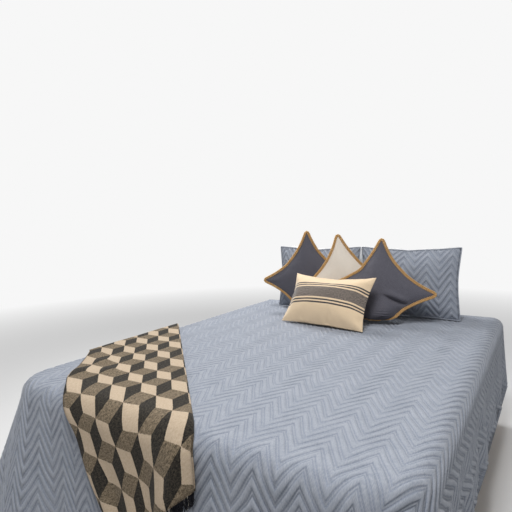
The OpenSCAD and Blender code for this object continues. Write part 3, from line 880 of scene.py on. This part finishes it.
def braid(name, curve, outward, node, material):
    """Three strands plaited flat along a closed line."""
    way = np.concatenate([[0], np.cumsum(np.linalg.norm(np.roll(curve, -1, 0) - curve, axis=1))])
    turns = round(way[-1] / PLAIT)
    count = turns * 12
    at = np.arange(count) * way[-1] / count

    def along(values):
        closed = np.concatenate([values, values[:1]])
        return np.stack([np.interp(at, way, closed[:, k]) for k in range(3)], -1)
    base, out = along(curve), along(outward)
    up = unit(np.cross(np.roll(base, -1, 0) - np.roll(base, 1, 0), out))
    turn, radius = round_turns(6), TRIM_D * 0.26
    wall = np.array(ring_faces(count, len(turn), True))
    points, faces, flat = [], [], []
    for strand in range(3):
        theta = (2 * math.pi * (at * turns / way[-1] + strand / 3))[:, None]
        line = base + out * np.sin(theta) * TRIM_D * 0.36 + up * np.sin(2 * theta) * TRIM_D * 0.2
        points.append(tube_points(line, out, up, radius, turn))
        faces.append(wall + strand * count * len(turn))
        flat.append(cord_flat(at + strand * 3, radius, turn))
    points, faces, flat = np.concatenate(points), np.concatenate(faces), np.concatenate(flat)
    add_piece(name, points, faces, material, flat, node)


def deep_crease(x, y):
    """Relief of the right cushion's front: a deep slanting crease, a full lobe beside it and gathers."""
    run_x, run_y = 0.38, -0.925
    along = (x - 0.034) * run_x + (y + 0.11) * run_y
    off = (x - 0.034) * -run_y + (y + 0.11) * run_x + 0.1 * along ** 2
    deep = np.clip((along + 0.085) / 0.06, 0, 1) * np.clip((0.09 - along) / 0.05, 0, 1)
    crease = 0.011 * bell(off - 0.022, 0.016) - 0.021 * bell(off, np.where(off < 0, 0.014, 0.006))
    lobe = 0.02 * bell(x + 0.045, 0.05) * bell(y + 0.125, 0.05)
    low = bell(x + 0.1, 0.06) * bell(y + 0.15, 0.045)
    gathers = 0.0045 * np.sin((x + y) * 2 * math.pi / 0.021 + 40 * (x - y) ** 2) * low
    return crease * deep + lobe + gathers


def soft_folds(seed):
    """Small folds that run in from a cushion's corners."""
    def relief(x, y):
        size = CUSHION_W / 2
        near = np.minimum(np.abs(np.abs(x) - size), 1) + np.abs(np.abs(y) - size)
        fan = np.arctan2(size - np.abs(y) + 0.02, size - np.abs(x) + 0.02)
        fold = np.sin(fan * 9 + seed * np.sign(x) + 2 * np.sign(y)) * bell(near - 0.1, 0.07)
        return 0.0022 * fold + 0.0025 * smooth_noise(x, y, seed, 8, 2, 7)
    return relief


def make_square(key, cover, material, rope_material):
    middle, tilt, lean, turn, quarter = SQUARES[key]
    shape = turned_shape(cover, quarter)
    relief = deep_crease if key == "grey_right" else soft_folds(quarter + 51)
    points, faces, flat = pad_mesh(shape, CUSHION_W, CUSHION_W, *grid_of(110, 110), relief, 0.0)
    seam = seam_curve(shape)
    out = seam_outward(seam)

    def place(local):
        return pose(standing(local, middle, tilt), lean, turn)
    rope = rounded(seam + out * TRIM_D * 0.4)
    out = unit(rounded(out))
    # the rope's outer edge comes where the CAD rope's is, across and back
    shift = shift_onto(place(rope + out * TRIM_D * 0.6), "trim_" + key, ROPE_UNDER_TOP)
    points, faces, flat = weld(place(points) + shift, faces, flat, PAD_STEPS)
    piece = add_piece("square_cushion_" + key, points, faces, material, flat, "cushion_" + key)
    line = place(rope)
    outward = (place(rope + out * ROPE_PROBE) - line) / ROPE_PROBE
    braid("braid_" + key, line + shift, outward, "trim_" + key, rope_material)


def make_squares():
    cover = inflate((CUSHION_W, CUSHION_W, CUSHION_T), 0.041, 0.0085, 21, stands=False)
    grey = linen("grey_linen", srgb(66, 65, 73), srgb(103, 102, 111))
    cream = linen("cream_linen", srgb(206, 196, 184), srgb(230, 222, 210))
    jute = linen("jute", srgb(160, 118, 70), srgb(224, 186, 128), 0.3)
    make_square("grey_left", cover, grey, jute)
    make_square("white", cover, cream, jute)
    make_square("grey_right", cover, grey, jute)


# Mattress and frame
def mattress_ring(inset):
    """The mattress's outline, moved in; far in, it is the outline made smaller."""
    turn = math.pi / 2 * (np.arange(4)[:, None] + np.linspace(0, 1, 15))
    middle = math.pi / 2 * (np.arange(4)[:, None] + 0.5) + 0 * turn
    half = np.array([HALF_W, HALF_L])
    centre = np.sign(np.stack([np.cos(middle), np.sin(middle)], -1)) * (half - CORNER_R)
    near = inset < CORNER_R
    ring = centre + (CORNER_R - inset * near) * np.stack([np.cos(turn), np.sin(turn)], -1)
    return (ring if near else ring * (half - inset) / half).reshape(-1, 2)


def make_mattress():
    """A block with rounded edges and a border sewn in five rounds."""
    low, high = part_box("mattress")
    turn = math.pi / 2 * np.arange(7) / 6
    inset, rise = MATTRESS_EDGE * (1 - np.sin(turn)), MATTRESS_EDGE * (1 - np.cos(turn))
    share = np.linspace(0.02, 0.98, 41)
    border = 0.004 * (1 - np.abs(np.sin(math.pi * share * 5))) ** 2
    border_z = low.z + MATTRESS_EDGE + (high.z - low.z - 2 * MATTRESS_EDGE) * share
    insets = np.concatenate([[0.6, 0.3], inset, border, inset[::-1], [0.3, 0.6]])
    heights = np.concatenate([[low.z, low.z], low.z + rise, border_z, high.z - rise[::-1], [high.z, high.z]])
    rings = [np.insert(mattress_ring(i) + (0, ORIGIN_Y), 2, z, axis=1) for i, z in zip(insets, heights)]
    count, sides = len(rings), len(rings[0])
    piece = add_piece("mattress_block", np.concatenate(rings), ring_faces(count, sides) + lids(count, sides),
                      mattress_knit(), node="mattress")


def dress_timber():
    """The timber keeps its CAD shape and gets a grain that runs along each board."""
    for name, node in sorted(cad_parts.items()):
        if name.startswith(("slat", "ledge", "middle_beam")):
            dark, light = srgb(186, 150, 104), srgb(226, 200, 158)
        elif name.startswith(("side_rail", "head_rail", "foot_rail", "leg_", "middle_leg")):
            dark, light = srgb(150, 104, 62), srgb(204, 160, 108)
        else:
            continue
        low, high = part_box(name)
        axis = int(np.argmax(np.array(high) - np.array(low)))
        node.data.materials.clear()
        node.data.materials.append(wood("pine_" + name, axis, dark, light, tuple(rng.uniform(0, 9, 3))))


# Throw: a blanket folded in thirds, laid at an angle across the foot
BEND_CLEAR = 0.003
THROW_BEND_R = EDGE_R + BEND_CLEAR
THROW_BEND = (THROW_BEND_R + THROW_T / 2) * math.pi / 2
RUN = np.array([math.cos(THROW_ANGLE), -math.sin(THROW_ANGLE)])
ACROSS = np.array([-math.sin(THROW_ANGLE), -math.cos(THROW_ANGLE)])
THROW_START = np.array([THROW_CROSSING * HALF_W, -FLAT_Y]) - (THROW_L - THROW_HANG) * RUN
LAYER_T = 0.0052
LAYERS = (0.0045, 0.0125, 0.0205)
# Points along the section: the layer underneath, its turn, the middle layer, its turn and the top layer
SECTION_PARTS = (26, 7, 26, 11, 44)
STATION = 0.0125
STRAND_STEP = 0.0014
STRAND_R = 0.0014
# How far the left edge wanders, as [out, along, reach], and bumps of the top, as [up, along, across, reach]
EDGE_WANDER = ((0.018, 1.01, 0.09), (-0.022, 1.32, 0.1), (-0.012, 0.72, 0.08))
TOP_BUMPS = ((0.013, 0.85, 0.12, 0.045), (0.015, 0.985, 0.085, 0.045), (0.012, 0.95, 0.18, 0.04),
             (0.01, 0.73, 0.17, 0.05))


def past_turn(s, t):
    """How far a place on the throw lies past its turn down over the foot: less than 0 on the bed."""
    return s - (-FLAT_Y - THROW_START[1] - t * ACROSS[1]) / RUN[1]


def turned_down(past, lift, hang):
    past = np.maximum(past, 0)
    a = np.minimum(past, THROW_BEND) / THROW_BEND * math.pi / 2
    rest = np.maximum(past - THROW_BEND, 0)
    r = THROW_BEND_R + lift
    return r * np.sin(a) + rest * HEM_FLARE / hang, THROW_BEND_R - r * np.cos(a) + rest


def throw_point(s, t, lift):
    """The folded throw, s along it and t across it, at a height above the coverlet: as in the CAD source."""
    left_part = t / THROW_W + 0.5
    slant = np.radians(35 * left_part)
    eased = 1 - 0.15 * left_part
    over = np.maximum(past_turn(s, t), 0)
    px = THROW_START[0] + s * RUN[0] + t * ACROSS[0]
    py = THROW_START[1] + s * RUN[1] + t * ACROSS[1]
    past = over * eased * np.cos(slant)
    eases = 1 - np.exp(-2 * past / THROW_BEND)
    swing = past * np.tan(slant) + (1 / math.tan(THROW_ANGLE) - np.tan(slant)) * THROW_BEND / 2 * eases
    left_out, left_down = turned_down(-px - FLAT_X, lift, SIDE_HANG)
    foot_out, foot_down = turned_down(past, lift, FOOT_HANG)
    on_left = (px < -FLAT_X) & (over <= 0)
    on_foot = over > 0
    x = np.where(on_left, -FLAT_X - left_out, np.where(on_foot, px - over * RUN[0] + swing, px))
    y = np.where(on_foot, -FLAT_Y - foot_out, py)
    z = np.where(on_left, -left_down, np.where(on_foot, -foot_down, lift))
    return np.stack([x, y + ORIGIN_Y, z + BED_TOP + SEAT], -1)


def laid(s, t, h):
    """The throw as a hand leaves it: its left edge wanders, and its top lies in soft bumps."""
    wander = sum(out * bell(s - at, reach) for out, at, reach in EDGE_WANDER)
    t = t + np.clip(t / 0.2, 0, 1) * wander
    wave = sum(up * bell(s - at_s, reach) * bell(t - at_t, reach) for up, at_s, at_t, reach in TOP_BUMPS)
    wave = wave + 0.0035 * smooth_noise(s, t, 31, 7, 1.2, 4.0)
    hang = np.clip(past_turn(s, t), 0, 0.4)
    wave = wave + 0.02 * hang * (np.sin(t * 2 * math.pi / 0.16 + 0.8) - 0.2)
    return throw_point(s, t, np.maximum(h + wave * np.clip(h / THROW_T, 0, 1) ** 1.5, 0.0004))


def opened(s):
    """How far the fold on the right has opened where the throw hangs: from 0 to 1."""
    return np.clip((s - 1.4) / 0.25, 0, 1) ** 1.2


def fold_section(share):
    """The blanket's section, from its free edge underneath to the one on top, as [t, height] and the distance
    across the cloth, which is 0 in the middle of the top layer. An opened fold stands up and moves in."""
    half = THROW_W / 2
    loop, inward = 0.005 + 0.019 * share, 0.034 * share
    low, mid, top = LAYERS
    r = (mid - low) / 2
    a, b, c, d, e = SECTION_PARTS
    turn = np.linspace(-math.pi / 2, math.pi / 2, b + 2)[1:-1]
    roll = np.linspace(0, 1, d + 2)[1:-1]
    left, right = half - r - 0.004, -half + 0.005
    first = np.linspace(-1, 1, a) * (half - r) - 0.004
    second = np.linspace(left, right, c)
    over = np.linspace(right, half - 0.001, e)
    bulge = (0.005 + 0.3 * inward * (1 - roll)) * np.sin(math.pi * roll) ** 0.6
    height = top + (mid + 2 * loop - top) * np.exp(-(np.maximum(over - right, 0) / 0.085) ** 1.6)
    ease = np.clip((0.03 - over) / 0.16, 0, 1)
    edge = right + inward * roll ** 1.7 - bulge
    across = (first, left + r * np.cos(turn), second, edge, over + inward * ease ** 1.5)
    up = (low + 0 * first, low + r + r * np.sin(turn), mid + 0 * second, mid + 2 * loop * roll, height)
    line = np.stack([np.concatenate(across), np.concatenate(up)], -1)
    way = np.concatenate([[0], np.cumsum(np.linalg.norm(np.diff(line, axis=0), axis=1))])
    way[-e:] = over
    way[:-e] += over[0] - np.linalg.norm(line[-e] - line[-e - 1]) - way[-e - 1]
    return line, way


def printed(cloth, s, t):
    """Where the woven pattern's own coordinates lie: the blanket was not laid quite straight or flat."""
    past = past_turn(s, t)
    x = cloth + 0.19 * np.clip(past, 0, 0.32)
    x = x - 0.04 * np.clip((t - 0.05) / 0.13, 0, 1) * np.clip((s - 1.28) / 0.15, 0, 1)
    shift = 0.028 * bell(past - 0.06, 0.07) - 0.012 * bell(past + 0.1, 0.06)
    return np.stack([x, s - shift * np.clip((t + 0.15) / 0.12, 0.2, 1)], -1)


def make_throw():
    stops = np.append(np.arange(0, THROW_L - 0.006, STATION), THROW_L)
    points, flat = [], []
    for s in stops:
        line, way = fold_section(opened(s))
        tangent = unit(np.gradient(line, axis=0))
        normal = np.stack([-tangent[:, 1], tangent[:, 0]], -1) * LAYER_T / 2
        t, h = np.concatenate([line + normal, (line - normal)[::-1]]).T
        along = np.full(len(t), s)
        points.append(laid(along, t, h))
        flat.append(printed(np.concatenate([way, way[::-1]]), along, t))
    rows, cols = len(stops), len(points[0])
    faces = ring_faces(rows, cols)
    for base in (0, (rows - 1) * cols):
        for j in range(cols // 2 - 1):
            faces.append((base + j, base + j + 1, base + cols - 2 - j, base + cols - 1 - j))
    points, flat = np.concatenate(points), np.concatenate(flat)
    return add_piece("throw_folded", points, faces, tumbling_blocks(), flat, "throw")


def make_fringe():
    """Short eyelash strands of wool along both ends of the blanket."""
    points, faces, flat = [], [], []
    reach = 7
    f = np.linspace(0, 1, reach)
    turn = round_turns(3)
    strand_faces = ring_faces(reach, 3) + lids(reach, 3)
    for end, step in ((0.0, -1), (THROW_L, 1)):
        fold, way = fold_section(opened(end))
        for strand in np.arange(way[0] + 0.002, way[-1], STRAND_STEP):
            t = np.interp(strand, way, fold[:, 0])
            h = np.interp(strand, way, fold[:, 1])
            length = FRINGE_L * rng.uniform(0.72, 1.0)
            lean, lift, curl = rng.uniform(-0.5, 0.5), rng.uniform(-0.1, 0.5), rng.uniform(-1, 1)
            s = end + step * (f * length * (1 - 0.15 * abs(lean)) - 0.003)
            t = t + length * (0.35 * lean * f + 0.12 * curl * f ** 2)
            h = np.maximum(h + length * 0.12 * lift * f + 0.003 * np.sin(f * 6 + curl * 3), 0.0015)
            line = laid(s, t, h)
            ahead = unit(np.gradient(line, axis=0))
            side = unit(np.cross(ahead, (0.3, 0.5, 0.81)))
            start = len(points) * reach * 3
            points.append(tube_points(line, side, np.cross(ahead, side), STRAND_R * (1 - 0.55 * f), turn))
            flat.append(np.stack([np.full(reach, rng.uniform(0, 1)), f], -1).repeat(3, 0))
            faces += [tuple(v + start for v in face) for face in strand_faces]
    points, flat, yarn = np.concatenate(points), np.concatenate(flat), fringe_yarn()
    return add_piece("throw_fringe_strands", points, faces, yarn, flat, "throw_fringe")


# Camera as the photograph was taken: its focal length in the picture's pixels, its yaw, pitch and roll in
# radians, and its place in metres from the middle of the bed's top
PICTURE_W = 512
FOCAL = 445.484
SENSOR_W = 36
CAMERA_TURN = (0.58093441, -0.0777966, -0.0302217)
CAMERA_SPOT = (0.9826106, -1.841924, 0.58062983)


def make_camera():
    yaw, pitch, roll = CAMERA_TURN
    ahead = Vector((-math.sin(yaw) * math.cos(pitch), math.cos(yaw) * math.cos(pitch), math.sin(pitch)))
    level = ahead.cross(Vector((0, 0, 1))).normalized()
    above = level.cross(ahead)
    right = math.cos(roll) * level + math.sin(roll) * above
    up = math.cos(roll) * above - math.sin(roll) * level
    data = bpy.data.cameras.new("camera")
    data.sensor_fit = "HORIZONTAL"
    data.sensor_width = SENSOR_W
    data.lens = FOCAL / PICTURE_W * SENSOR_W
    camera = new_object("camera", data)
    spot = Vector(CAMERA_SPOT) + Vector((0, ORIGIN_Y, BED_TOP))
    camera.matrix_world = Matrix.Translation(spot) @ Matrix((right, up, -ahead)).transposed().to_4x4()
    scene.camera = camera


# Studio: a pale floor that fades into a pale background, an even soft light and two lamps
PALE = (0.93, 0.93, 0.93, 1)
FLOOR_PAINT = (0.82, 0.82, 0.82, 1)
FLOOR_R = 60
FADE_FROM, FADE_TO = 2.2, 6.0
SOFT_LIGHT = 0.33


def area_light(name, spot, target, size, power):
    data = bpy.data.lights.new(name, "AREA")
    data.shape = "DISK"
    data.size = size
    data.energy = power
    light = new_object(name, data)
    light.location = spot
    light.rotation_euler = (Vector(target) - Vector(spot)).to_track_quat("-Z", "Y").to_euler()


def make_background():
    world = bpy.data.worlds.new("studio")
    scene.world = world
    world.use_nodes = True
    world.node_tree.nodes.clear()
    w = Nodes(world.node_tree)
    soft = w.make("Background", {0: (1, 1, 1, 1), 1: SOFT_LIGHT})
    pale = w.make("Background", {0: PALE, 1: 1.0})
    shader = w.make("MixShader", {0: w.seen(), 1: soft, 2: pale})
    w.join(shader, w.tree.nodes.new("ShaderNodeOutputWorld"), 0)


def make_floor():
    m = Material("floor_paint", 0.9)
    m.shader.inputs["Base Color"].default_value = FLOOR_PAINT
    x, y = m.split(m.coords())
    away = (x * x + y * y) ** 0.5
    fade = m.make("MapRange", {0: away, 1: FADE_FROM, 2: FADE_TO, 3: 0.0, 4: 1.0})
    paint = Value(m, m.shader.outputs[0])
    shader = m.make("MixShader", {0: fade * m.seen(), 1: paint, 2: m.make("Emission", {0: PALE})})
    m.join(shader, m.tree.nodes["Material Output"], "Surface")
    mesh = bpy.data.meshes.new("floor")
    rim = [(FLOOR_R * math.cos(a), FLOOR_R * math.sin(a), 0) for a in round_turns(64)]
    mesh.from_pydata(rim, [], [tuple(range(64))])
    mesh.materials.append(m.material)
    floor = new_object("floor", mesh)


make_camera()
make_background()
make_floor()
area_light("above_foot", (0.5, -1.4, 3.4), (0.1, -0.2, 0.6), 1.2, 76)
area_light("head_side", (-1.4, 1.4, 2.4), (0.1, -0.4, 0.6), 1.0, 46)
scene.view_settings.view_transform = "Standard"

coverlet = make_coverlet()
dress_timber()
pillow_shape = inflate(PILLOW, 0.006, 0.012, 3)
make_pillows(pillow_shape)
make_shams(pillow_shape)
make_oblong("long_cushion", "cushion_lumbar", LUMBAR, 35, -6.5, inflate(LUMBAR, 0.016, 0.009, 8), striped(),
            "striped_cotton", *grid_of(130, 80), seam_puckers)
make_squares()
make_mattress()
throw = make_throw()
fringe = make_fringe()
